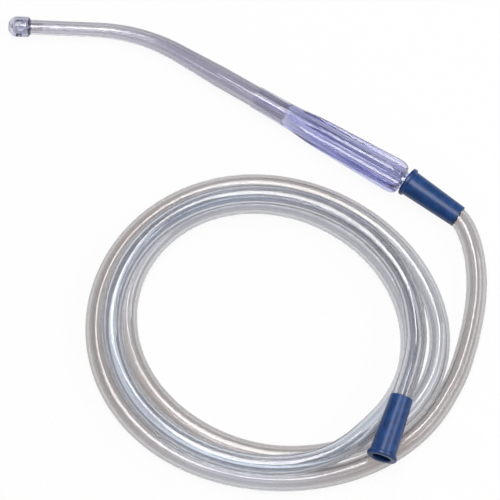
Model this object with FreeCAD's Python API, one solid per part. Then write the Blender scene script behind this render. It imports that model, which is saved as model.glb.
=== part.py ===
import FreeCAD, Part
import math
import os
from collections import namedtuple

# A bent suction wand with a perforated bulb, a fluted grip, and a soft hose that lies in three loose
# turns and ends in a female connector. Millimetres and degrees. The wand and grip are modelled along
# the X axis, with the rear face of the grip at the origin, then laid down on the bench plane z = 0.

Vector = FreeCAD.Vector
Ring = namedtuple("Ring", "mean waves")
Wave = namedtuple("Wave", "per_turn size crest")

# Fits
BOND_GAP = 0.02               # radial room for the bond between two pushed-together pieces

# Bulb at the tip
BULB_LENGTH = 12.5
BULB_DIAMETER = 11.3
BULB_NOSE_ROUND = 4.7
BULB_HEEL_ROUND = 2.6
BULB_WALL = 1.7
NOSE_HOLE = 3.2
EYE_COUNT = 4
EYE_WIDTH = 2.6
EYE_LENGTH = 3.2
EYE_CORNER = 0.7
BULB_SPIGOT_LENGTH = 6.5
BULB_SPIGOT_WALL = 0.7

# Wand tube
WAND_TIP_DIAMETER = 8.1
WAND_TIP_BORE = 4.2
TIP_RUN = 35.8
BEND_RADIUS = 97.0
BEND_ANGLE = 29.0
BEND_END_DIAMETER = 9.9
BEND_END_BORE = 5.4
FLARE_LENGTH = 26.3
WAND_DIAMETER = 11.6
WAND_BORE = 7.2
REAR_RUN = 43.5

# Grip
GRIP_LENGTH = 93.0
SOCKET_DEPTH = 19.5
SOCKET_WALL = 0.53
SLEEVE_LENGTH = 21.0
SLEEVE_END_RADIUS = 6.6
SHOULDER_LENGTH = 22.0
SHOULDER_RADIUS = 8.2
WIDEST_RADIUS = 9.4
WIDEST_FROM_REAR = 9.0
REAR_FACE_RADIUS = 7.0
REAR_FACE_LEAN = 0.4          # how far the rounded rear still runs back for each millimetre it falls
LUMEN = 6.4
LUMEN_CONE = 4.0
FLUTE_COUNT = 6
FLUTE_CUTTER_RADIUS = 3.6
FLUTE_DEPTH_REAR = 3.0        # below the widest radius, at the rear face
FLUTE_START_RADIUS = 6.9      # the flutes run out where the shoulder falls below this radius
FLUTE_EDGE_ROUND = 0.4

# Hose
HOSE_DIAMETER = 11.1
HOSE_BORE = 7.1

# Connectors, two alike
RIM_DIAMETER = 16.2
RIM_THICKNESS = 2.6
RIM_ROUND = 0.9
MOUTH_BORE_RADIUS = 5.0
MOUTH_BORE_DEPTH = 17.0
MOUTH_CHAMFER = 0.5
BODY_DIAMETER = 14.4
THROAT_LENGTH = 8.5
POCKET_DEPTH = 9.0
POCKET_WALL = 0.5
RIM_STANDOFF = 2.2            # rear face of the grip to the rim
SPIGOT_SHORTFALL = 0.6        # end of the grip's spigot to the bottom of the connector's bore
HOSE_SIDE_TILT = 4.0          # the hose pulls the soft connector askew on the grip's spigot
HOSE_DROP = 4.0               # and down towards the bench
TILTED_ABOUT = 9.0            # how deep in the mouth the two axes cross

# Coil, wound clockwise as seen from above: one outer turn, one inner turn, one turn on top
COIL_CENTRE = Vector(-15.8, -111.9, 0.0)
COIL_START = 17.0
COIL_TURNED = 1065.0
OUTER_RING = Ring(mean=87.2, waves=(Wave(1, 1.6, 132.0), Wave(2, 5.4, 15.5), Wave(3, 0.9, 8.0)))
INNER_RING = Ring(mean=72.7, waves=(Wave(1, 3.7, 112.0), Wave(2, 4.8, 3.0)))
TOP_RING = Ring(mean=78.2, waves=(Wave(1, 1.4, 218.0), Wave(2, 3.9, 14.0)))
RUN_IN = 9.7                  # the hose comes in to the outer turn from this far outside it
RUN_IN_TURNED = 65.0
RUN_OUT = 1.6                 # and leaves the top turn this far inside it
RUN_OUT_TURNED = 40.0
MOVE_IN = (342.0, 426.5)      # degrees turned over which it moves from the outer to the inner turn
MOVE_UP = (740.0, 775.0)      # and from the inner to the top turn
OUTLINE_STEP = 10.0

# Route of the hose outside the coil: the corners of its straight runs, from the coil's centre
LEAD_FIRST_RUN = 15.2
LEAD_LAST_RUN = 17.0
LEAD_CORNERS = (
    Vector(72.6, 103.0, 7.2),
    Vector(83.6, 91.0, 6.5),
    Vector(89.8, 73.0, 5.9),
)
TAIL_FIRST_RUN = 12.0
TAIL_FIRST_RISE = 3.6
RIM_REST_GAP = 0.3            # far connector's rim over the turns that it rests on
TAIL_CORNER = Vector(77.6, 13.9, HOSE_DIAMETER + RIM_DIAMETER / 2 + RIM_REST_GAP)
TAIL_HEADING = -76.9
TAIL_CLEAR_RUN = 10.9         # last corner to the small end of the far connector

ORIGIN = Vector(0, 0, 0)
ALONG = Vector(1, 0, 0)
ACROSS = Vector(0, 1, 0)
UPWARD = Vector(0, 0, 1)
OVERRUN = 1.0                 # how far a cutter reaches past the face that it opens
SAME = 1e-3                   # two places closer than this are one
FULL_TURN = 360.0
ARC_SHARE = 0.45              # share of the shorter run that an arc of the hose's route takes up


def at_angle(degrees, size=1.0):
    return Vector(size * math.cos(math.radians(degrees)), size * math.sin(math.radians(degrees)), 0)


def line(start, end):
    return Part.LineSegment(start, end).toShape()


def turned(edges):
    """Solid of revolution about the X axis from the edges of a half section in the XY plane."""
    half = Part.Face(Part.Wire(Part.__sortEdges__(edges)))
    return half.revolve(ORIGIN, ALONG, 360)


def chain(*corners):
    """Straight edges from corner to corner."""
    return [line(start, end) for start, end in zip(corners, corners[1:])]


def rounded(solid, radius, picked):
    """Fillet the edges of a solid for which picked(edge) is true."""
    return solid.makeFillet(radius, [edge for edge in solid.Edges if picked(edge)])


def is_circle(edge, x, radius):
    """True for a full circle about the X axis at this place and of this size."""
    box = edge.BoundBox
    flat = box.XLength < SAME and abs(box.XMin - x) < SAME
    return flat and abs(box.YMax - radius) < SAME and abs(box.YMin + radius) < SAME


def taper(arc, start_radius, end_radius):
    """Solid round taper along an arc."""
    sweep = Part.BRepOffsetAPI.MakePipeShell(Part.Wire(arc))
    for at, radius in ((arc.FirstParameter, start_radius), (arc.LastParameter, end_radius)):
        sweep.add(Part.Wire(Part.Circle(arc.valueAt(at), arc.tangentAt(at), radius).toShape()))
    sweep.build()
    sweep.makeSolid()
    return sweep.shape()


# Bulb

def suction_tip():
    """Bulb with a nose hole and side eyes, hollow, on a spigot that goes into the wand.

    Its seat on the wand's end is at x = 0 and its nose points along +X.
    """
    outer = BULB_DIAMETER / 2
    chamber = outer - BULB_WALL
    spigot = WAND_TIP_BORE / 2 - BOND_GAP
    spigot_end = ALONG * -BULB_SPIGOT_LENGTH
    middle = BULB_LENGTH / 2
    bulb = Part.makeCylinder(outer, BULB_LENGTH, ORIGIN, ALONG)
    bulb = rounded(bulb, BULB_NOSE_ROUND, lambda edge: is_circle(edge, BULB_LENGTH, outer))
    bulb = rounded(bulb, BULB_HEEL_ROUND, lambda edge: is_circle(edge, 0, outer))
    bulb = bulb.fuse(Part.makeCylinder(spigot, BULB_SPIGOT_LENGTH + OVERRUN, spigot_end, ALONG))
    room = Part.makeCylinder(chamber, BULB_LENGTH - 2 * BULB_WALL, ALONG * BULB_WALL, ALONG)
    room = rounded(
        room, BULB_NOSE_ROUND - BULB_WALL, lambda edge: is_circle(edge, BULB_LENGTH - BULB_WALL, chamber)
    )
    hollow = [
        room,
        Part.makeCylinder(NOSE_HOLE / 2, BULB_LENGTH, ALONG * middle, ALONG),
        Part.makeCylinder(spigot - BULB_SPIGOT_WALL, BULB_SPIGOT_LENGTH + middle, spigot_end, ALONG),
    ]
    hollow += [eye_cutter(number * FULL_TURN / EYE_COUNT) for number in range(EYE_COUNT)]
    return bulb.cut(hollow).removeSplitter()


def eye_cutter(around):
    """Plug with rounded corners that cuts one eye through the side of the bulb."""
    corner = Vector((BULB_LENGTH - EYE_LENGTH) / 2, -EYE_WIDTH / 2, 0)
    plug = Part.makeBox(EYE_LENGTH, EYE_WIDTH, BULB_DIAMETER, corner)
    plug = rounded(plug, EYE_CORNER, lambda edge: edge.BoundBox.ZLength > BULB_DIAMETER - SAME)
    plug.rotate(ORIGIN, ALONG, around)
    return plug


# Wand

WAND_END = SOCKET_DEPTH - GRIP_LENGTH
FLARE_END = WAND_END - REAR_RUN
BEND_END = FLARE_END - FLARE_LENGTH
BEND_CENTRE = Vector(BEND_END, -BEND_RADIUS, 0)
TIP_DIRECTION = at_angle(180 + BEND_ANGLE)
BEND_START = BEND_CENTRE + at_angle(90 + BEND_ANGLE, BEND_RADIUS)
TIP_SEAT = BEND_START + TIP_DIRECTION * TIP_RUN


def wand_solid(tip_radius, bend_radius, rear_radius):
    """Outer or inner form of the wand: tip run, tapering bend, flare, straight rear run."""
    middle = BEND_CENTRE + at_angle(90 + BEND_ANGLE / 2, BEND_RADIUS)
    bend = taper(Part.Arc(BEND_START, middle, Vector(BEND_END, 0, 0)).toShape(), tip_radius, bend_radius)
    tip_run = Part.makeCylinder(tip_radius, TIP_RUN, BEND_START, TIP_DIRECTION)
    flare = Part.makeCone(bend_radius, rear_radius, FLARE_LENGTH, ALONG * BEND_END, ALONG)
    rear_run = Part.makeCylinder(rear_radius, REAR_RUN, ALONG * FLARE_END, ALONG)
    return tip_run.fuse([bend, flare, rear_run])


def wand_tube():
    outside = wand_solid(WAND_TIP_DIAMETER / 2, BEND_END_DIAMETER / 2, WAND_DIAMETER / 2)
    inside = wand_solid(WAND_TIP_BORE / 2, BEND_END_BORE / 2, WAND_BORE / 2)
    return outside.cut(inside)


# Grip

SPIGOT_RADIUS = MOUTH_BORE_RADIUS - BOND_GAP
SPIGOT_END = RIM_STANDOFF + MOUTH_BORE_DEPTH - SPIGOT_SHORTFALL
SOCKET_RADIUS = WAND_DIAMETER / 2 + BOND_GAP
SLEEVE_END = SLEEVE_LENGTH - GRIP_LENGTH
SHOULDER_END = SLEEVE_END + SHOULDER_LENGTH


def grip_blank():
    """Turned form of the grip before its flutes: sleeve, shoulder, swell, round rear and spigot."""
    lip = Vector(-GRIP_LENGTH, SOCKET_RADIUS + SOCKET_WALL, 0)
    sleeve_end = Vector(SLEEVE_END, SLEEVE_END_RADIUS, 0)
    shoulder = Vector(SHOULDER_END, SHOULDER_RADIUS, 0)
    widest = Vector(-WIDEST_FROM_REAR, WIDEST_RADIUS, 0)
    rear = Vector(0, REAR_FACE_RADIUS, 0)
    spigot_end = Vector(SPIGOT_END, SPIGOT_RADIUS, 0)
    swell = (widest - shoulder).normalize()
    rise = Part.BSplineCurve()
    rise.interpolate(
        [sleeve_end, (sleeve_end + shoulder) / 2, shoulder],
        InitialTangent=(sleeve_end - lip).normalize(), FinalTangent=swell,
    )
    heel = Part.BSplineCurve()
    heel.interpolate(
        [widest, rear],
        InitialTangent=swell * WIDEST_FROM_REAR,
        FinalTangent=Vector(REAR_FACE_LEAN, -1, 0) * WIDEST_FROM_REAR,
    )
    outside = [line(lip, sleeve_end), rise.toShape(), line(shoulder, widest), heel.toShape()]
    spigot = chain(rear, ACROSS * SPIGOT_RADIUS, spigot_end, ALONG * SPIGOT_END)
    return turned([*outside, *spigot, *chain(ALONG * SPIGOT_END, ALONG * -GRIP_LENGTH, lip)])


def flute_cutter(around):
    """Round bar, tilted so that the groove it cuts deepens from the shoulder to the rear face."""
    start = Vector(SLEEVE_END, 0, FLUTE_START_RADIUS + FLUTE_CUTTER_RADIUS)
    end = Vector(0, 0, WIDEST_RADIUS - FLUTE_DEPTH_REAR + FLUTE_CUTTER_RADIUS)
    run = end - start
    bar = Part.makeCylinder(FLUTE_CUTTER_RADIUS, run.Length + OVERRUN, start, run)
    bar.rotate(ORIGIN, ALONG, around)
    return bar


def handle():
    """Fluted grip with the wand's socket in front and the hose spigot behind. One rib points up."""
    blank = grip_blank()
    between_ribs = FULL_TURN / FLUTE_COUNT
    cutters = [flute_cutter((number + 0.5) * between_ribs) for number in range(FLUTE_COUNT)]
    fluted = blank.cut(cutters)
    fluted = rounded(fluted, FLUTE_EDGE_ROUND, is_rib_edge)
    before_mouth = ALONG * -(GRIP_LENGTH + OVERRUN)
    socket = Part.makeCylinder(SOCKET_RADIUS, SOCKET_DEPTH + OVERRUN, before_mouth, ALONG)
    cone = Part.makeCone(WAND_BORE / 2, LUMEN / 2, LUMEN_CONE, ALONG * WAND_END, ALONG)
    lumen = Part.makeCylinder(LUMEN / 2, SPIGOT_END - WAND_END + OVERRUN, ALONG * WAND_END, ALONG)
    return fluted.cut([socket, cone, lumen])


def is_rib_edge(edge):
    """True for a lengthwise edge between a flute and the outside of the grip."""
    box = edge.BoundBox
    lengthwise = box.XLength > SHOULDER_LENGTH and max(box.YLength, box.ZLength) < WIDEST_RADIUS
    return lengthwise and box.XMax < OVERRUN


# Connectors

BODY_SMALL_RADIUS = HOSE_DIAMETER / 2 + BOND_GAP + POCKET_WALL
HOSE_SEAT = MOUTH_BORE_DEPTH + THROAT_LENGTH
CONNECTOR_LENGTH = HOSE_SEAT + POCKET_DEPTH


def connector(side_tilt, drop):
    """Soft female connector: rim and mouth near x = 0, hose pocket at the far end.

    The mouth's bore lies along the X axis, on what is pushed into it. The rest is turned askew by
    side_tilt towards -Y and by drop towards -Z, about a point inside the mouth. Gives the solid,
    the seat of the hose at the bottom of the pocket and the way the hose leaves.
    """
    pivot = ALONG * TILTED_ABOUT
    turn = FreeCAD.Rotation(ACROSS, drop).multiply(FreeCAD.Rotation(UPWARD, -side_tilt))
    askew = FreeCAD.Placement(Vector(), turn, pivot)
    body = Part.makeCone(BODY_DIAMETER / 2, BODY_SMALL_RADIUS, CONNECTOR_LENGTH, ORIGIN, ALONG)
    body = body.fuse(rim()).removeSplitter()
    throat = Part.makeCylinder(HOSE_BORE / 2, HOSE_SEAT + OVERRUN - TILTED_ABOUT, pivot, ALONG)
    pocket = Part.makeCylinder(
        HOSE_DIAMETER / 2 + BOND_GAP, POCKET_DEPTH + OVERRUN, ALONG * HOSE_SEAT, ALONG
    )
    body = placed(body.cut([throat, pocket]), askew)
    mouth = [
        Part.makeCylinder(MOUTH_BORE_RADIUS, MOUTH_BORE_DEPTH + OVERRUN, ALONG * -OVERRUN, ALONG),
        Part.makeCone(MOUTH_BORE_RADIUS + MOUTH_CHAMFER, MOUTH_BORE_RADIUS, MOUTH_CHAMFER, ORIGIN, ALONG),
    ]
    return body.cut(mouth), askew.multVec(ALONG * HOSE_SEAT), turn.multVec(ALONG)


def rim():
    """Bead round the mouth."""
    outer = RIM_DIAMETER / 2
    bead = Part.makeCylinder(outer, RIM_THICKNESS, ORIGIN, ALONG)
    return rounded(bead, RIM_ROUND, lambda edge: is_circle(edge, edge.BoundBox.XMin, outer))


# Hose

def ease(value, span):
    """Smooth step from 0 to 1 over a span."""
    share = min(max((value - span[0]) / (span[1] - span[0]), 0), 1)
    return share * share * (3 - 2 * share)


def ring_radius(ring, angle):
    return ring.mean + sum(
        wave.size * math.cos(math.radians(wave.per_turn * (angle - wave.crest))) for wave in ring.waves
    )


def coil_polar(turned_by):
    """Direction and distance of the hose's axis from the coil's centre after so many degrees."""
    angle = COIL_START - turned_by
    radius = ring_radius(OUTER_RING, angle)
    radius += (ring_radius(INNER_RING, angle) - radius) * ease(turned_by, MOVE_IN)
    radius += (ring_radius(TOP_RING, angle) - radius) * ease(turned_by, MOVE_UP)
    radius += RUN_IN * max(1 - turned_by / RUN_IN_TURNED, 0) ** 2
    radius -= RUN_OUT * max(1 - (COIL_TURNED - turned_by) / RUN_OUT_TURNED, 0) ** 2
    return angle, radius


def coil_axis(turned_by, height, outwards=0.0):
    angle, radius = coil_polar(turned_by)
    return COIL_CENTRE + at_angle(angle, radius + outwards) + UPWARD * height


def coil_heading(turned_by):
    return (coil_axis(turned_by + SAME, 0) - coil_axis(turned_by - SAME, 0)).normalize()


def root(function, low, high):
    """Where a function changes sign between low and high, by halving."""
    rising = function(high) > 0
    while high - low > SAME * SAME:
        middle = (low + high) / 2
        if (function(middle) > 0) == rising:
            high = middle
        else:
            low = middle
    return (low + high) / 2


def outline(first, last, outwards):
    """Smooth edge of the coil from one amount of turn to another, seen from above."""
    steps = max(round((last - first) / OUTLINE_STEP), 2)
    places = [first + (last - first) * step / steps for step in range(steps + 1)]
    curve = Part.BSplineCurve()
    curve.interpolate([coil_axis(place, 0, outwards) for place in places])
    return curve.toShape()


def hose_coil():
    """The coil's outer form: two turns side by side on the bench and one on top.

    The lower band has a step where the hose comes in, square to the hose, and the top turn starts
    where the hose has climbed on to the inner turn and ends square to the hose that leaves it.
    """
    half = HOSE_DIAMETER / 2
    start = coil_axis(0, 0)
    heading = coil_heading(0)
    outer_corner = start + UPWARD.cross(heading) * half
    outer_end = root(
        lambda place: (coil_axis(place, 0, half) - start).dot(heading),
        FULL_TURN - OUTLINE_STEP, FULL_TURN + OUTLINE_STEP,
    )
    outer = outline(OUTLINE_STEP, outer_end, half)
    entry = line(outer_corner, outer.valueAt(outer.FirstParameter))
    step_face = line(outer.valueAt(outer.LastParameter), outer_corner)
    band = Part.Face(Part.Wire([entry, outer, step_face]))
    crossing = root(
        lambda place: coil_polar(place + FULL_TURN)[1] - coil_polar(place)[1],
        FULL_TURN + OUTLINE_STEP, MOVE_IN[1],
    )
    hole = Part.Face(Part.Wire(outline(crossing, crossing + FULL_TURN, -half)))
    lower = band.cut(hole).extrude(UPWARD * HOSE_DIAMETER)
    top_outer = outline(crossing + FULL_TURN, COIL_TURNED + OVERRUN, half)
    top_inner = outline(crossing + FULL_TURN, COIL_TURNED + OVERRUN, -half)
    ends = [
        line(top_outer.valueAt(top_outer.FirstParameter), top_inner.valueAt(top_inner.FirstParameter)),
        line(top_outer.valueAt(top_outer.LastParameter), top_inner.valueAt(top_inner.LastParameter)),
    ]
    top = Part.Face(Part.Wire(Part.__sortEdges__([top_outer, top_inner, *ends])))
    top = top.extrude(UPWARD * HOSE_DIAMETER)
    top.translate(UPWARD * HOSE_DIAMETER)
    trim = Part.makeCylinder(2 * HOSE_DIAMETER, HOSE_DIAMETER, top_turn_end(), tail_heading())
    return lower.fuse(top.cut(trim)).removeSplitter()


def top_turn_end():
    """Centre of the square face where the hose leaves the top turn."""
    return coil_axis(COIL_TURNED, 1.5 * HOSE_DIAMETER)


def tail_heading():
    """The way the hose leaves the top turn, rising a little to climb over to the far connector."""
    level = coil_heading(COIL_TURNED)
    rise = math.radians(TAIL_FIRST_RISE)
    return level * math.cos(rise) + UPWARD * math.sin(rise)


def pipe(route, radius):
    """Round bar along straight runs joined by tangent arcs, each as large as its two runs allow."""
    edges = []
    here = route[0]
    for before, corner, after in zip(route, route[1:], route[2:]):
        first = (before - corner).normalize()
        second = (after - corner).normalize()
        reach = ARC_SHARE * min((before - corner).Length, (after - corner).Length)
        half_turn = (math.pi - first.getAngle(second)) / 2
        arc_radius = reach / math.tan(half_turn)
        inwards = (first + second).normalize()
        middle = corner + inwards * (arc_radius / math.cos(half_turn) - arc_radius)
        edges.append(line(here, corner + first * reach))
        edges.append(Part.Arc(corner + first * reach, middle, corner + second * reach).toShape())
        here = corner + second * reach
        print(f"  arc radius {arc_radius:.1f} mm")
    path = Part.Wire([*edges, line(here, route[-1])])
    section = Part.Wire(Part.Circle(route[0], route[1] - route[0], radius).toShape())
    bar = path.makePipeShell([section], True, False)
    expected = math.pi * radius ** 2 * path.Length
    print(f"  volume {bar.Volume:.0f}, section times length {expected:.0f}, length {path.Length:.1f} mm")
    return bar


def lead_route(seat, way):
    """From the bottom of the handle connector's pocket to the start of the coil."""
    start = coil_axis(0, HOSE_DIAMETER / 2)
    corners = [COIL_CENTRE + corner for corner in LEAD_CORNERS]
    return [seat, seat + way * LEAD_FIRST_RUN, *corners, start - coil_heading(0) * LEAD_LAST_RUN, start]


def tail_route():
    """From the end of the coil to the bottom of the far connector's pocket."""
    start = top_turn_end()
    corner = COIL_CENTRE + TAIL_CORNER
    seat = corner + at_angle(TAIL_HEADING, TAIL_CLEAR_RUN + POCKET_DEPTH)
    return [start, start + tail_heading() * TAIL_FIRST_RUN, corner, seat]


# Laying down: the bulb and the widest part of the grip touch the bench

def rest_placement():
    tip_middle = TIP_SEAT + TIP_DIRECTION * (BULB_LENGTH / 2)
    span = -WIDEST_FROM_REAR - tip_middle.x
    tilt = math.degrees(math.asin((WIDEST_RADIUS - BULB_DIAMETER / 2) / span))
    height = WIDEST_RADIUS + WIDEST_FROM_REAR * math.sin(math.radians(tilt))
    return FreeCAD.Placement(UPWARD * height, FreeCAD.Rotation(ACROSS, -tilt))


def placed(shape, *placements):
    """Copy of a shape moved by placements, the last one first."""
    moved = shape.copy()
    for placement in reversed(placements):
        moved.Placement = placement.multiply(moved.Placement)
    return moved


def main():
    rest = rest_placement()
    tip_way = FreeCAD.Placement(TIP_SEAT, FreeCAD.Rotation(UPWARD, 180 + BEND_ANGLE))
    on_spigot = FreeCAD.Placement(ALONG * RIM_STANDOFF, FreeCAD.Rotation())
    near_connector, near_seat, near_way = connector(HOSE_SIDE_TILT, HOSE_DROP)
    nodes = {
        "suction_tip": placed(suction_tip(), rest, tip_way),
        "wand_tube": placed(wand_tube(), rest),
        "handle": placed(handle(), rest),
        "handle_connector": placed(near_connector, rest, on_spigot),
    }
    box = FreeCAD.BoundBox()
    for shape in nodes.values():
        box.add(shape.optimalBoundingBox(False))
    seat = rest.multVec(on_spigot.multVec(near_seat))
    way = rest.Rotation.multVec(near_way)
    print("lead")
    nodes["hose_lead"] = pipe(lead_route(seat, way), HOSE_DIAMETER / 2)
    nodes["hose_coil"] = hose_coil()
    print("tail")
    route = tail_route()
    nodes["hose_tail"] = pipe(route, HOSE_DIAMETER / 2)
    far_connector, far_seat, _ = connector(0, 0)
    far_way = FreeCAD.Rotation(UPWARD, TAIL_HEADING + 180)
    far = FreeCAD.Placement(route[-1] - far_way.multVec(far_seat), far_way)
    nodes["far_connector"] = placed(far_connector, far)
    to_origin = Vector(-box.Center.x, -box.Center.y, -box.ZMin)
    for name, shape in nodes.items():
        shape.translate(to_origin)
        shape.exportStep(f"parts/{name}.step")
        print(f"{name}: {len(shape.Solids)} solid, valid {shape.isValid()}, {shape.Volume:.0f} cubic mm")
    print(f"bench origin at {tuple(round(value, 3) for value in to_origin)}")
    print(f"far mouth at {far.Base + to_origin}, out of it {far_way.multVec(-ALONG)}")
    lead = [tuple(round(value, 2) for value in point - COIL_CENTRE) for point in lead_route(seat, way)]
    tail = [tuple(round(value, 2) for value in point - COIL_CENTRE) for point in route]
    print("lead route from the coil's centre", lead)
    print("tail route from the coil's centre", tail)


os.makedirs("parts", exist_ok=True)
main()
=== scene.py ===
"""Suction wand, fluted grip, clear hose and navy connectors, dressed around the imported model."""

from __future__ import annotations

import logging
import math
from dataclasses import dataclass, field

import bpy
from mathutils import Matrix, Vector

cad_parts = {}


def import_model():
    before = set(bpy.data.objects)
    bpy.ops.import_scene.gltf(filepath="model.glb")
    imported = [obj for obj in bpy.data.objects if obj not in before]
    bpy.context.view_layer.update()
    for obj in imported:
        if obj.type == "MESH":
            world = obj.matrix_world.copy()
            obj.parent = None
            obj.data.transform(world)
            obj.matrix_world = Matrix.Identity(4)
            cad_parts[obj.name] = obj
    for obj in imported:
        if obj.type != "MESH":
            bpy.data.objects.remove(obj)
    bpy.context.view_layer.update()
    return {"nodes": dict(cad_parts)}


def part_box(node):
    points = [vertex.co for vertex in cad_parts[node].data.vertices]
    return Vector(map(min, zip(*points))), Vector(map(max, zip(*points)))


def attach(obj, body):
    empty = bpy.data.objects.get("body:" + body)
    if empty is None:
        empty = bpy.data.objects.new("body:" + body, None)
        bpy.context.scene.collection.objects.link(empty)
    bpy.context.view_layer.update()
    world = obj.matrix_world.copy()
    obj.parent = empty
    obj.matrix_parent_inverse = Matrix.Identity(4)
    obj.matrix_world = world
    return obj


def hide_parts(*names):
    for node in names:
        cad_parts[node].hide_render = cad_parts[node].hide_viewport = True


LOG = logging.getLogger("suction_wand")
MM = 0.001
BODY = "root"
RIGID_IOR = 1.52

Colour = tuple[float, float, float, float]
Span = tuple[float, float]
Span3 = tuple[float, float, float]
CLEAR: Colour = (1.0, 1.0, 1.0, 1.0)


def at_angle(degrees: float, size: float) -> Vector:
    """Vector of a size on the bench plane, at an angle from +X."""
    turn = math.radians(degrees)
    return Vector((size * math.cos(turn), size * math.sin(turn), 0.0))


def ease(value: float, span: Span) -> float:
    """Smooth step from 0 to 1 over a span."""
    share = min(max((value - span[0]) / (span[1] - span[0]), 0.0), 1.0)
    return share * share * (3.0 - 2.0 * share)


class Value:
    """A number output of a shader node, with the arithmetic that adds Math nodes."""

    def __init__(self, paint: Paint, socket: bpy.types.NodeSocket) -> None:
        """Wrap a socket of a material.

        Args:
            paint: The material's node builder.
            socket: The output socket that carries the number.
        """
        self.paint = paint
        self.socket = socket

    def maths(self, operation: str, *others: Value | float) -> Value:
        """Apply one Math operation to this value and others.

        Args:
            operation: Name of the Math node's operation.
            others: Further operands.

        Returns:
            The result as a new value.
        """
        operands = dict(enumerate((self, *others)))
        node = self.paint.node("ShaderNodeMath", {"operation": operation}, operands)
        return Value(self.paint, node.outputs[0])

    def __add__(self, other: Value | float) -> Value:
        """Sum."""
        return self.maths("ADD", other)

    __radd__ = __add__

    def __mul__(self, other: Value | float) -> Value:
        """Product."""
        return self.maths("MULTIPLY", other)

    __rmul__ = __mul__

    def __rsub__(self, other: float) -> Value:
        """Number minus this value."""
        return (self * -1.0) + other

    def between(self, low: float, high: float) -> Value:
        """Smooth step from 0 at low to 1 at high."""
        node = self.paint.node(
            "ShaderNodeMapRange",
            {"interpolation_type": "SMOOTHSTEP"},
            {"Value": self, "From Min": low, "From Max": high},
        )
        return Value(self.paint, node.outputs["Result"])


class Paint:
    """Builds one material's node tree round a Principled shader."""

    def __init__(self, name: str) -> None:
        """Start an empty material.

        Args:
            name: Name of the material.
        """
        self.material = bpy.data.materials.new(name)
        self.material.use_nodes = True
        self.tree = self.material.node_tree
        self.tree.nodes.clear()
        self.output = self.tree.nodes.new("ShaderNodeOutputMaterial")
        self.shader = self.tree.nodes.new("ShaderNodeBsdfPrincipled")
        self.tree.links.new(self.shader.outputs[0], self.output.inputs["Surface"])

    def node(
        self,
        kind: str,
        settings: dict | None = None,
        sockets: dict | None = None,
    ) -> bpy.types.Node:
        """Add a node.

        Args:
            kind: Blender's type name of the node.
            settings: Attributes of the node, set before its sockets.
            sockets: Input socket names or numbers with values, colours or outputs to link.

        Returns:
            The new node.
        """
        made = self.tree.nodes.new(kind)
        for key, value in (settings or {}).items():
            setattr(made, key, value)
        for key, value in (sockets or {}).items():
            self.feed(made.inputs[key], value)
        return made

    def feed(self, socket: bpy.types.NodeSocket, value: object) -> None:
        """Link an output to a socket, or set the socket's own value."""
        if isinstance(value, Value):
            self.tree.links.new(value.socket, socket)
        elif isinstance(value, bpy.types.NodeSocket):
            self.tree.links.new(value, socket)
        else:
            socket.default_value = value

    def set(self, **values: object) -> None:
        """Feed the Principled shader's sockets, named with underscores for spaces."""
        for key, value in values.items():
            self.feed(self.shader.inputs[key.replace("_", " ")], value)

    def absorb(self, colour: Colour, density: float) -> None:
        """Let the plastic take up light along its thickness.

        Args:
            colour: What a thick piece of it tends to.
            density: Strength per metre.
        """
        node = self.node("ShaderNodeVolumeAbsorption", None, {"Color": colour, "Density": density})
        self.tree.links.new(node.outputs[0], self.output.inputs["Volume"])

    def object_vector(self) -> bpy.types.NodeSocket:
        """Object coordinates as a vector output."""
        return self.node("ShaderNodeTexCoord").outputs["Object"]

    def axes(self, origin: Vector) -> tuple[Value, Value, Value]:
        """Object coordinates as three numbers.

        Args:
            origin: Point of the part that becomes the zero, in metres.

        Returns:
            The X, Y and Z values in metres.
        """
        sockets = {"Vector": self.object_vector(), "Location": origin}
        mapping = self.node("ShaderNodeMapping", {"vector_type": "TEXTURE"}, sockets)
        split = self.node("ShaderNodeSeparateXYZ", None, {0: mapping.outputs[0]})
        return tuple(Value(self, split.outputs[axis]) for axis in range(3))

    def noise(self, vector: bpy.types.NodeSocket, scale: float, detail: float) -> Value:
        """Smooth noise from 0 to 1."""
        sockets = {"Vector": vector, "Scale": scale, "Detail": detail}
        node = self.node("ShaderNodeTexNoise", None, sockets)
        return Value(self, node.outputs["Fac"])

    def lines(self, vector: bpy.types.NodeSocket, density: Span3, detail: float) -> Value:
        """Noise drawn out into lines.

        Args:
            vector: Coordinates that the lines follow.
            density: Changes a unit along each of the three axes.
            detail: Octaves of the noise.

        Returns:
            The noise, from 0 to 1.
        """
        sockets = {0: vector, 1: Vector(density)}
        node = self.node("ShaderNodeVectorMath", {"operation": "MULTIPLY"}, sockets)
        return self.noise(node.outputs[0], 1.0, detail)

    def mixed(self, factor: Value, first: object, second: object) -> bpy.types.NodeSocket:
        """Colour between two colours.

        Args:
            factor: 0 for the first colour and 1 for the second.
            first: Colour or colour output.
            second: Colour or colour output.

        Returns:
            The mixed colour output.
        """
        return self.blended("MIX", factor, first, second)

    def multiplied(self, first: object, second: object) -> bpy.types.NodeSocket:
        """Product of two colours."""
        return self.blended("MULTIPLY", 1.0, first, second)

    def blended(
        self,
        blend: str,
        factor: Value | float,
        first: object,
        second: object,
    ) -> bpy.types.NodeSocket:
        """Two colours put together by a Mix node.

        Args:
            blend: Name of the Mix node's blend type.
            factor: Share of the second colour.
            first: Colour or colour output.
            second: Colour or colour output.

        Returns:
            The blended colour output.
        """
        sockets = {"Factor": factor, "A": first, "B": second}
        node = self.node("ShaderNodeMix", {"data_type": "RGBA", "blend_type": blend}, sockets)
        return node.outputs["Result"]

    def bump(self, height: Value, distance: float, strength: float) -> bpy.types.NodeSocket:
        """Normal from a height."""
        sockets = {"Height": height, "Distance": distance, "Strength": strength}
        return self.node("ShaderNodeBump", None, sockets).outputs["Normal"]


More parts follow.
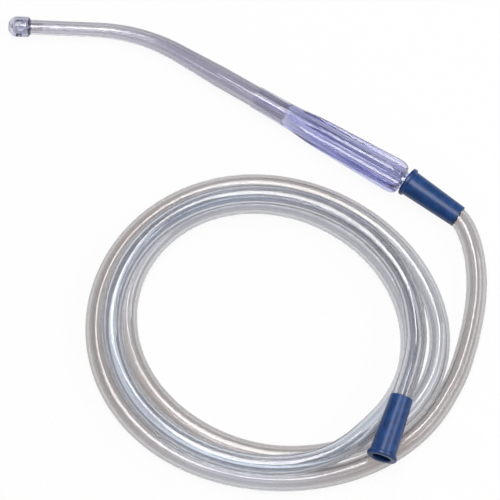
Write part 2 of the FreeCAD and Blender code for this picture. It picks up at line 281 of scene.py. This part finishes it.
@dataclass(frozen=True)
class ClearHoseFinish:
    """Soft clear hose: glassy, smoky where it is thick, with draw lines and a tint along it."""

    neutral: Colour = (0.86, 0.865, 0.895, 1.0)
    warm: Colour = (0.78, 0.745, 0.73, 1.0)
    cool: Colour = (0.90, 0.935, 0.99, 1.0)
    grey_line: Colour = (0.84, 0.84, 0.85, 1.0)
    smoke: Colour = (0.60, 0.60, 0.61, 1.0)
    smoke_density: float = 125.0
    warm_stretches: tuple[Span, ...] = ((-0.2, 0.20), (0.28, 0.56), (0.72, 0.88))
    cool_stretches: tuple[Span, ...] = ((1.12, 1.48),)
    fade: float = 0.05
    line_density: Span3 = (15.0, 0.8, 0.0)
    line_band: Span = (0.42, 0.58)
    drift_density: Span3 = (0.0, 9.0, 0.0)
    drift_band: Span = (0.3, 0.6)
    drift_share: float = 0.4
    polish: float = 0.02
    dull_line: float = 0.08
    line_height: float = 0.0001
    line_relief: float = 0.05
    ior: float = 1.46
    clearness: float = 0.97

    def share(self, metres: Value, stretches: tuple[Span, ...]) -> Value:
        """1 within the named stretches of the hose, falling off to 0 beside them."""
        parts = []
        for start, end in stretches:
            begun = metres.between(start - self.fade, start + self.fade)
            ended = metres.between(end - self.fade, end + self.fade)
            parts.append(begun * (1.0 - ended))
        return sum(parts[1:], parts[0])

    def material(self) -> bpy.types.Material:
        """Build the hose material, which follows the hose's own UV map."""
        paint = Paint("clear_hose")
        along = paint.node("ShaderNodeUVMap", {"uv_map": "along"}).outputs[0]
        metres = Value(paint, paint.node("ShaderNodeSeparateXYZ", None, {0: along}).outputs["Y"])
        drift = paint.lines(along, self.drift_density, 1.0).between(*self.drift_band)
        lines = paint.lines(along, self.line_density, 1.0)
        warmth = drift * self.drift_share + (1.0 - self.drift_share)
        warm_share = self.share(metres, self.warm_stretches) * warmth
        warmed = paint.mixed(warm_share, self.neutral, self.warm)
        tinted = paint.mixed(self.share(metres, self.cool_stretches), warmed, self.cool)
        drawn = paint.mixed(lines.between(*self.line_band), self.grey_line, CLEAR)
        paint.set(
            Base_Color=paint.multiplied(tinted, drawn),
            Roughness=lines * self.dull_line + self.polish,
            IOR=self.ior,
            Transmission_Weight=self.clearness,
            Normal=paint.bump(lines, self.line_height, self.line_relief),
        )
        paint.absorb(self.smoke, self.smoke_density)
        return paint.material


@dataclass(frozen=True)
class NavyFinish:
    """Soft navy plastic, glossy, with the faint mottle of a flexible moulding."""

    navy: Colour = (0.003, 0.029, 0.115, 1.0)
    lighter: Colour = (0.006, 0.048, 0.185, 1.0)
    mottle_density: float = 260.0
    mottle_band: Span = (0.35, 0.7)
    grain_density: float = 2600.0
    grain_height: float = 0.00003
    grain_relief: float = 0.25
    polish: float = 0.28
    dull_mottle: float = 0.16
    ior: float = 1.53
    shine: float = 0.4

    def material(self) -> bpy.types.Material:
        """Build the connector material."""
        paint = Paint("navy_connector")
        vector = paint.object_vector()
        mottle = paint.noise(vector, self.mottle_density, 3.0)
        grain = paint.noise(vector, self.grain_density, 2.0)
        paint.set(
            Base_Color=paint.mixed(mottle.between(*self.mottle_band), self.navy, self.lighter),
            Roughness=mottle * self.dull_mottle + self.polish,
            IOR=self.ior,
            Specular_IOR_Level=self.shine,
            Normal=paint.bump(grain, self.grain_height, self.grain_relief),
        )
        return paint.material


@dataclass(frozen=True)
class WandFinish:
    """Clear rigid plastic with a faint violet tint, deeper towards the grip, and a painted shade
    along one edge of its rear.
    """

    wall: Colour = (0.96, 0.955, 0.97, 1.0)
    rear: Colour = (0.84, 0.83, 0.89, 1.0)
    rear_span: Span = (-0.095, -0.035)
    line: Colour = (0.86, 0.855, 0.90, 1.0)
    line_density: Span3 = (30.0, 700.0, 700.0)
    line_band: Span = (0.4, 0.6)
    # Painted shade: a darker strip along one edge of the wand's rear, where the clear wall looks
    # dark at its edge.
    painted_edge_shade: Colour = (0.62, 0.62, 0.72, 1.0)
    painted_edge_shade_along: Span = (-0.07, -0.05)
    painted_edge_shade_across: Span = (0.0034, 0.0050)
    polish: float = 0.04
    body: Colour = (0.52, 0.505, 0.56, 1.0)
    body_density: float = 220.0

    def material(self, axis: Vector) -> bpy.types.Material:
        """Build the wand material, with a painted shade darkening one edge of its rear, on the side
        away from the coil.

        Args:
            axis: Point on the axis of the grip and of the wand's rear, in metres.

        Returns:
            The material.
        """
        paint = Paint("clear_wand")
        streaks = paint.lines(paint.object_vector(), self.line_density, 1.0)
        along, across, _ = paint.axes(axis)
        plain = paint.mixed(along.between(*self.rear_span), self.wall, self.rear)
        # Painted shade: darkens a strip along one edge of the wand's rear.
        edge = along.between(*self.painted_edge_shade_along) * across.between(*self.painted_edge_shade_across)
        with_painted_shade = paint.mixed(edge, plain, self.painted_edge_shade)
        lined = paint.mixed(streaks.between(*self.line_band), self.line, CLEAR)
        paint.set(
            Base_Color=paint.multiplied(with_painted_shade, lined),
            Roughness=self.polish,
            IOR=RIGID_IOR,
            Transmission_Weight=1.0,
        )
        paint.absorb(self.body, self.body_density)
        return paint.material


@dataclass(frozen=True)
class GripFinish:
    """Blue violet rigid plastic, clear enough to show its fluted back through its front, with a
    painted shade along one edge near its front.
    """

    line: Colour = (0.60, 0.63, 0.86, 1.0)
    line_density: Span3 = (25.0, 420.0, 420.0)
    line_band: Span = (0.38, 0.55)
    front: Colour = (0.98, 0.98, 0.99, 1.0)
    front_clearness: float = 0.5
    rear: Colour = (0.95, 0.95, 0.98, 1.0)
    front_span: Span = (0.020, 0.032)
    # Painted shade: a darker strip along one edge of the grip near its front, where the clear
    # plastic looks dark at its edge.
    painted_edge_shade: Colour = (0.45, 0.46, 0.66, 1.0)
    painted_edge_shade_start: Span = (0.015, 0.025)
    painted_edge_shade_end: Span = (0.045, 0.060)
    painted_edge_shade_across: Span = (0.0048, 0.0066)
    polish: float = 0.12
    body: Colour = (0.58, 0.585, 0.76, 1.0)
    body_density: float = 180.0

    def material(self, axis: Vector) -> bpy.types.Material:
        """Build the grip material, with a painted shade darkening one edge near its front, on the
        side away from the coil.

        Args:
            axis: Point on the grip's axis, in metres.

        Returns:
            The material.
        """
        paint = Paint("violet_grip")
        streaks = paint.lines(paint.object_vector(), self.line_density, 2.0)
        along, across, _ = paint.axes(axis)
        behind = along.between(*self.front_span)
        plain = paint.mixed(behind, self.front, self.rear)
        # Painted shade: darkens a strip along one edge of the grip near its front.
        stretch = along.between(*self.painted_edge_shade_start) * (1.0 - along.between(*self.painted_edge_shade_end))
        edge = stretch * across.between(*self.painted_edge_shade_across)
        with_painted_shade = paint.mixed(edge, plain, self.painted_edge_shade)
        clear = streaks.between(*self.line_band) + (1.0 - behind) * self.front_clearness
        paint.set(
            Base_Color=paint.multiplied(with_painted_shade, paint.mixed(clear, self.line, CLEAR)),
            Roughness=self.polish,
            IOR=RIGID_IOR,
            Transmission_Weight=1.0,
        )
        paint.absorb(self.body, self.body_density)
        return paint.material


@dataclass(frozen=True)
class BulbFinish:
    """Blue bulb that turns pale and clear at its nose."""

    blue: Colour = (0.66, 0.67, 0.76, 1.0)
    pale: Colour = (0.95, 0.96, 0.98, 1.0)
    pale_fade: float = 0.2
    spigot: Colour = (1.0, 0.98, 0.95, 1.0)
    spigot_fade: float = 0.0004
    polish: float = 0.06
    body: Colour = (0.50, 0.51, 0.66, 1.0)
    body_density: float = 190.0

    def material(
        self,
        nose: Vector,
        way: Vector,
        clear_length: float,
        length: float,
    ) -> bpy.types.Material:
        """Build the bulb material.

        Args:
            nose: Point at the very front of the bulb, in metres.
            way: Direction from the bulb's heel to its nose.
            clear_length: Length of the pale nose, in metres.
            length: Length of the bulb without its spigot, in metres.

        Returns:
            The material.
        """
        paint = Paint("bulb_blue")
        x, y, z = paint.axes(nose)
        behind = -1.0 * (x * way.x + y * way.y + z * way.z)
        fade = clear_length * self.pale_fade
        head = behind.between(clear_length - fade, clear_length + fade)
        headed = paint.mixed(head, self.pale, self.blue)
        shank = behind.between(length, length + self.spigot_fade)
        paint.set(
            Base_Color=paint.mixed(shank, headed, self.spigot),
            Roughness=self.polish,
            IOR=RIGID_IOR,
            Transmission_Weight=1.0,
        )
        paint.absorb(self.body, self.body_density)
        return paint.material


@dataclass(frozen=True)
class Wave:
    """One ripple of a ring of hose: how many a turn, how large, and the angle of its crest."""

    per_turn: int
    size: float
    crest: float


@dataclass(frozen=True)
class Ring:
    """One turn of the coil: a mean radius with ripples."""

    mean: float
    waves: tuple[Wave, ...]

    def radius(self, angle: float) -> float:
        """Radius in millimetres at an angle in degrees."""
        return self.mean + sum(
            wave.size * math.cos(math.radians(wave.per_turn * (angle - wave.crest)))
            for wave in self.waves
        )


@dataclass(frozen=True)
class Coil:
    """Three loose turns wound clockwise: outer, inner, and one on top. Millimetres and degrees."""

    start: float = 17.0
    turned: float = 1065.0
    step: float = 15.0
    outer: Ring = Ring(87.2, (Wave(1, 1.6, 132.0), Wave(2, 5.4, 15.5), Wave(3, 0.9, 8.0)))
    inner: Ring = Ring(72.7, (Wave(1, 3.7, 112.0), Wave(2, 4.8, 3.0)))
    top: Ring = Ring(78.2, (Wave(1, 1.4, 218.0), Wave(2, 3.9, 14.0)))
    run_in: float = 9.7
    run_in_turned: float = 65.0
    run_out: float = 1.6
    run_out_turned: float = 40.0
    move_in: Span = (342.0, 426.5)
    move_up: Span = (740.0, 775.0)
    climb: Span = (717.0, 758.0)
    dip: float = 3.1
    dip_at: float = 873.0
    dip_half: float = 48.0

    def place(self, turned_by: float, hose: float, stretch: float = 1.0) -> Vector:
        """Point of the hose's axis.

        Args:
            turned_by: Degrees wound from the coil's start.
            hose: Outside diameter of the hose.
            stretch: Factor on the radius.

        Returns:
            The point in millimetres from the coil's centre on the bench.
        """
        angle = self.start - turned_by
        radius = self.outer.radius(angle)
        radius += (self.inner.radius(angle) - radius) * ease(turned_by, self.move_in)
        radius += (self.top.radius(angle) - radius) * ease(turned_by, self.move_up)
        left = self.turned - turned_by
        radius += self.run_in * max(1.0 - turned_by / self.run_in_turned, 0.0) ** 2
        radius -= self.run_out * max(1.0 - left / self.run_out_turned, 0.0) ** 2
        height = hose / 2 + hose * ease(turned_by, self.climb)
        off = abs(turned_by - self.dip_at) / self.dip_half
        if off < 1.0:
            height -= self.dip * math.cos(math.radians(90.0 * off)) ** 2
        return at_angle(angle, radius * stretch) + Vector((0.0, 0.0, height))

    def control_points(self, hose: float) -> list[Vector]:
        """Spline control points of the turns, pushed out by what the spline cuts inside them."""
        stretch = 1.0 / (0.75 + 0.25 * math.cos(math.radians(self.step)))
        count = round(self.turned / self.step)
        return [
            self.place(number * self.step, hose, stretch if 0 < number < count else 1.0)
            for number in range(count + 1)
        ]


@dataclass
class Hose:
    """Clear hose from the handle connector through the coil to the far connector. Millimetres."""

    diameter: float = 11.1
    bore: float = 7.1
    sides: int = 36
    rings_per_span: int = 8
    box_steps: int = 720
    coil: Coil = field(default_factory=Coil)
    lead: tuple[Span3, ...] = (
        (43.44, 110.75, 8.88),
        (52.4, 110.1, 8.4),
        (60.4, 105.8, 7.9),
        (67.8, 99.2, 7.5),
        (74.7, 91.0, 7.1),
        (80.9, 81.6, 6.7),
        (86.4, 70.3, 6.2),
        (91.3, 57.0, 5.8),
        (95.2, 43.4, 5.55),
    )
    tail: tuple[Span3, ...] = (
        (71.6, 32.6, 17.3),
        (75.5, 21.9, 18.6),
        (77.9, 12.7, 19.4),
        (79.6, 5.3, 19.5),
        (82.11, -5.48, 19.5),
    )
    exit: Span3 = (52.4, 110.1, 8.4)

    def centre(self) -> Vector:
        """Coil's centre on the bench in metres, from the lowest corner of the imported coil."""
        low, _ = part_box("hose_coil")
        places = [
            self.coil.place(self.coil.turned * step / self.box_steps, self.diameter)
            for step in range(self.box_steps + 1)
        ]
        edges = [place * (1.0 + self.diameter / 2 / place.xy.length) for place in places]
        return Vector((
            low.x - min(edge.x for edge in edges) * MM,
            low.y - min(edge.y for edge in edges) * MM,
            low.z,
        ))

    def spline_line(self, centre: Vector) -> list[Vector]:
        """Smooth line of the hose as Blender draws its spline, in metres.

        Args:
            centre: Coil's centre on the bench in metres.

        Returns:
            Points along the line, from the handle connector to the far connector.
        """
        route = [Vector(point) for point in self.lead]
        route += self.coil.control_points(self.diameter)
        route += [Vector(point) for point in self.tail]
        curve = bpy.data.curves.new("hose_route", "CURVE")
        curve.dimensions = "3D"
        curve.resolution_u = self.rings_per_span
        spline = curve.splines.new("NURBS")
        spline.points.add(len(route) - 1)
        for point, place in zip(spline.points, route):
            point.co = (*(centre + place * MM), 1.0)
        spline.order_u = 3
        spline.use_endpoint_u = True
        holder = bpy.data.objects.new("hose_route", curve)
        bpy.context.scene.collection.objects.link(holder)
        mesh = bpy.data.meshes.new_from_object(holder)
        line = [vertex.co.copy() for vertex in mesh.vertices]
        bpy.data.objects.remove(holder)
        bpy.data.meshes.remove(mesh)
        return line

    def tube(self, line: list[Vector]) -> bpy.types.Object:
        """Hollow tube round a line, with a UV map of turn round the hose and metres along it.

        Args:
            line: Points of the hose's axis in metres.

        Returns:
            The mesh object.
        """
        rings = len(line)
        vertices: list[Vector] = []
        faces: list[tuple[int, ...]] = []
        uvs: list[tuple[float, float]] = []
        travelled = [0.0]
        for before, after in zip(line, line[1:]):
            travelled.append(travelled[-1] + (after - before).length)
        for radius in (self.diameter / 2 * MM, self.bore / 2 * MM):
            for number, place in enumerate(line):
                heading = (line[min(number + 1, rings - 1)] - line[max(number - 1, 0)]).normalized()
                side = heading.cross(Vector((0.0, 0.0, 1.0))).normalized()
                upright = side.cross(heading)
                for step in range(self.sides):
                    turn = math.tau * step / self.sides
                    outward = side * math.cos(turn) + upright * math.sin(turn)
                    vertices.append(place + outward * radius)
        inner = rings * self.sides

        def quad(shift: int, number: int, step: int, flip: bool) -> None:
            """Add one wall face with its UV corners."""
            following = (step + 1) % self.sides
            corners = [
                (shift + number * self.sides + step, step, number),
                (shift + number * self.sides + following, step + 1, number),
                (shift + (number + 1) * self.sides + following, step + 1, number + 1),
                (shift + (number + 1) * self.sides + step, step, number + 1),
            ]
            if flip:
                corners.reverse()
            faces.append(tuple(corner[0] for corner in corners))
            uvs.extend((corner[1] / self.sides, travelled[corner[2]]) for corner in corners)

        for number in range(rings - 1):
            for step in range(self.sides):
                quad(0, number, step, True)
                quad(inner, number, step, False)
        for number in (0, rings - 1):
            for step in range(self.sides):
                following = (step + 1) % self.sides
                base = number * self.sides
                rim = (base + step, base + following)
                face = (*rim, inner + rim[1], inner + rim[0])
                faces.append(face if number == 0 else tuple(reversed(face)))
                uvs.extend((0.0, travelled[number]) for _ in face)
        mesh = bpy.data.meshes.new("clear_hose")
        mesh.from_pydata(vertices, [], faces)
        layer = mesh.uv_layers.new(name="along")
        for loop, uv in zip(layer.data, uvs):
            loop.uv = uv
        mesh.shade_smooth()
        made = bpy.data.objects.new("clear_hose", mesh)
        bpy.context.scene.collection.objects.link(made)
        return made

    def build(self) -> bpy.types.Object:
        """Returns:
            The hose object.
        """
        centre = self.centre()
        LOG.info("coil centre %s", [round(value * 1000, 3) for value in centre])
        line = self.spline_line(centre)
        hose = self.tube(line)
        hose.data.materials.append(ClearHoseFinish().material())
        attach(hose, BODY)
        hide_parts("hose_lead", "hose_coil", "hose_tail")
        return hose


@dataclass(frozen=True)
class Lamp:
    """A rectangular soft lamp, by its direction from the aim. Metres, watts and degrees."""

    name: str
    bearing: float
    height: float
    away: float
    size: Span
    power: float

    def build(self, aim: Vector) -> None:
        """Add the lamp, pointed at a place on the bench."""
        data = bpy.data.lights.new(self.name, "AREA")
        data.shape = "RECTANGLE"
        data.size, data.size_y = self.size
        data.energy = self.power
        holder = bpy.data.objects.new(self.name, data)
        bpy.context.scene.collection.objects.link(holder)
        lift = Vector((0.0, 0.0, self.height))
        holder.location = aim + at_angle(self.bearing, self.away) + lift
        holder.rotation_euler = (aim - holder.location).to_track_quat("-Z", "Y").to_euler()


@dataclass
class Studio:
    """Bench, lamps and camera as in the photograph. Sizes of the view in millimetres."""

    coil_centre: Vector
    aim_from_coil: Span = (-34.4, 37.0)
    forward: float = 122.0
    elevation: float = 70.0
    distance: float = 1500.0
    seen_width: float = 270.0
    sensor: float = 36.0
    far_metres: float = 20.0
    bench_metres: float = 8.0
    lamps: tuple[Lamp, ...] = (
        Lamp("window", 27.0, 0.92, 0.92, (1.1, 0.40), 7.0),
        Lamp("overhead", 122.0, 1.6, 0.2, (0.3, 1.2), 12.5),
        Lamp("left_strip", 212.0, 1.6, 0.3, (0.7, 0.3), 7.0),
    )
    fill: float = 0.33
    bench_grey: Colour = (0.7, 0.7, 0.7, 1.0)
    bench_roughness: float = 0.9
    bench_glow: float = 0.93

    @property
    def aim(self) -> Vector:
        """Place on the bench at the middle of the picture, in metres."""
        shift = Vector((*self.aim_from_coil, 0.0)) * MM
        return Vector((*self.coil_centre.xy, 0.0)) + shift

    def camera(self) -> None:
        """Add the camera at the photograph's viewing angle."""
        data = bpy.data.cameras.new("camera")
        data.sensor_width = self.sensor
        data.lens = self.sensor * self.distance / self.seen_width
        data.clip_end = self.far_metres
        holder = bpy.data.objects.new("camera", data)
        bpy.context.scene.collection.objects.link(holder)
        rise = math.radians(self.elevation)
        level = at_angle(self.forward, math.cos(rise))
        view = Vector((level.x, level.y, -math.sin(rise)))
        holder.location = self.aim - view * self.distance * MM
        holder.rotation_euler = view.to_track_quat("-Z", "Y").to_euler()
        bpy.context.scene.camera = holder

    def bench(self) -> None:
        """Add the white bench: it keeps the shadows and looks white, also through clear plastic."""
        bpy.ops.object.select_all(action="DESELECT")
        bpy.ops.mesh.primitive_plane_add(size=self.bench_metres, location=(0.0, 0.0, 0.0))
        bench = bpy.context.object
        bench.name = "bench"
        paint = Paint("bench")
        path = paint.node("ShaderNodeLightPath")
        seen = Value(paint, path.outputs["Is Camera Ray"])
        for kind in ("Is Glossy Ray", "Is Transmission Ray"):
            seen = seen.maths("MAXIMUM", Value(paint, path.outputs[kind]))
        glow = paint.node("ShaderNodeEmission", None, {"Color": CLEAR, "Strength": 1.0})
        paint.set(
            Base_Color=self.bench_grey,
            Roughness=self.bench_roughness,
            Specular_IOR_Level=0.0,
        )
        layers = {0: seen * self.bench_glow, 1: paint.shader.outputs[0], 2: glow.outputs[0]}
        mix = paint.node("ShaderNodeMixShader", None, layers)
        paint.tree.links.new(mix.outputs[0], paint.output.inputs["Surface"])
        bench.data.materials.append(paint.material)

    def build(self) -> None:
        """Set up the whole studio."""
        scene = bpy.context.scene
        scene.view_settings.view_transform = "Standard"
        self.camera()
        self.bench()
        for lamp in self.lamps:
            lamp.build(self.aim)
        world = bpy.data.worlds.new("studio")
        scene.world = world
        world.use_nodes = True
        background = world.node_tree.nodes["Background"]
        background.inputs["Color"].default_value = CLEAR
        background.inputs["Strength"].default_value = self.fill


@dataclass
class Wand:
    """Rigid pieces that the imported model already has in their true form: finishes only.

    Millimetres and degrees.
    """

    bulb_way: float = 209.0
    bulb_clear: float = 3.2
    bulb_length: float = 12.5
    grip_axis: Span = (0.0, 15.06)

    def dress(self, node: bpy.types.Object, material: bpy.types.Material) -> None:
        """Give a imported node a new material."""
        node.data.materials.clear()
        node.data.materials.append(material)
        LOG.info("%s dressed in %s", node.name, material.name)

    def build(self, nodes: dict[str, bpy.types.Object]) -> None:
        """Dress the bulb, wand, grip and connectors.

        Args:
            nodes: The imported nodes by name.
        """
        way = at_angle(self.bulb_way, 1.0)
        places = [vertex.co.copy() for vertex in nodes["suction_tip"].data.vertices]
        nose = max(places, key=way.dot)
        axis = Vector((*self.grip_axis, 0.0)) * MM
        bulb = BulbFinish().material(nose, way, self.bulb_clear * MM, self.bulb_length * MM)
        self.dress(nodes["suction_tip"], bulb)
        self.dress(nodes["wand_tube"], WandFinish().material(axis))
        self.dress(nodes["handle"], GripFinish().material(axis))
        navy = NavyFinish().material()
        self.dress(nodes["handle_connector"], navy)
        self.dress(nodes["far_connector"], navy)


def main() -> None:
    """Load the frame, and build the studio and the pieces."""
    logging.basicConfig(level=logging.INFO, format="%(message)s")
    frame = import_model()
    hose = Hose()
    Studio(hose.centre()).build()
    hose.build()
    Wand().build(frame["nodes"])


if __name__ == "__main__":
    main()
